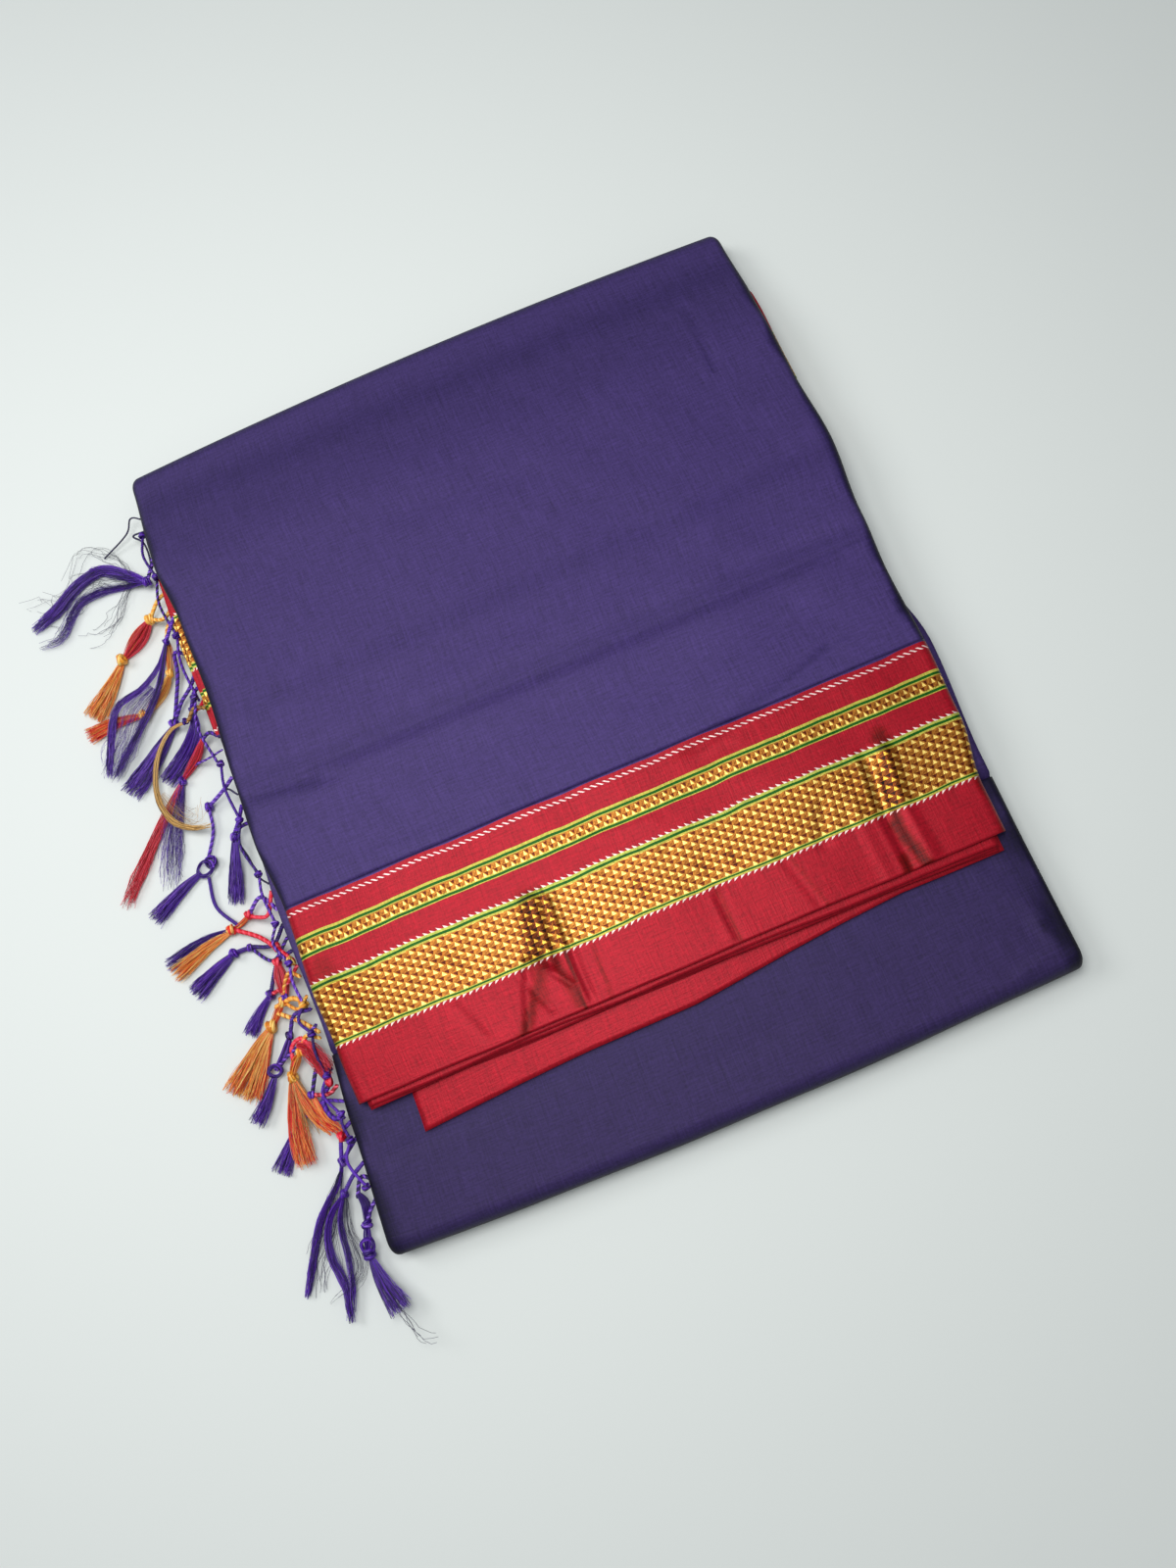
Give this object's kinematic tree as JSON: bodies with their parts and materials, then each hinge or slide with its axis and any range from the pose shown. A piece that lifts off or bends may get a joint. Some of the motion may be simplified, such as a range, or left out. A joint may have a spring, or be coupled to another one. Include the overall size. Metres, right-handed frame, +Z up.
{
  "type": "folded saree",
  "caption": "Violet saree folded flat, its red and gold border along the free edge and a knotted tassel fringe on one side.",
  "frame": {"origin": "middle of the flat underside, on the surface that the folded cloth rests on", "axes": "+X along the length of the cloth, away from the fringe; +Y across its width, towards the far fold; +Z up"},
  "size_m": [0.433, 0.4583, 0.0256],
  "materials": {
    "body_cloth": "fine dull weave",
    "inner_cloth": "fine dull weave",
    "border_cloth": "silky weave",
    "border_gold": "woven gold thread",
    "violet_thread": "glossy thread",
    "orange_thread": "glossy thread",
    "red_thread": "glossy thread"
  },
  "bodies": {
    "root": {"body_top_stretch": "body_cloth", "body_lower_stretch": "body_cloth", "border_top_stretch": "border_cloth", "hidden_layers": "inner_cloth", "border_layer_second": "border_cloth", "border_layer_third": "border_cloth", "border_layer_fourth": "border_cloth", "border_under_group": "border_cloth", "second_border_left": "border_gold", "second_border_right": "border_gold", "tassel_01": "violet_thread", "tassel_02": "orange_thread", "tassel_03": "orange_thread", "tassel_04": "violet_thread", "tassel_05": "violet_thread", "tassel_06": "violet_thread", "tassel_07": "orange_thread", "tassel_08": "red_thread", "tassel_09": "violet_thread", "tassel_10": "violet_thread", "tassel_11": "orange_thread", "tassel_12": "violet_thread", "tassel_13": "violet_thread", "tassel_14": "orange_thread", "tassel_15": "violet_thread", "tassel_16": "red_thread", "tassel_17": "red_thread", "tassel_18": "violet_thread", "tassel_19": "violet_thread", "tassel_20": "violet_thread", "tassel_21": "violet_thread"}
  },
  "joints": []
}
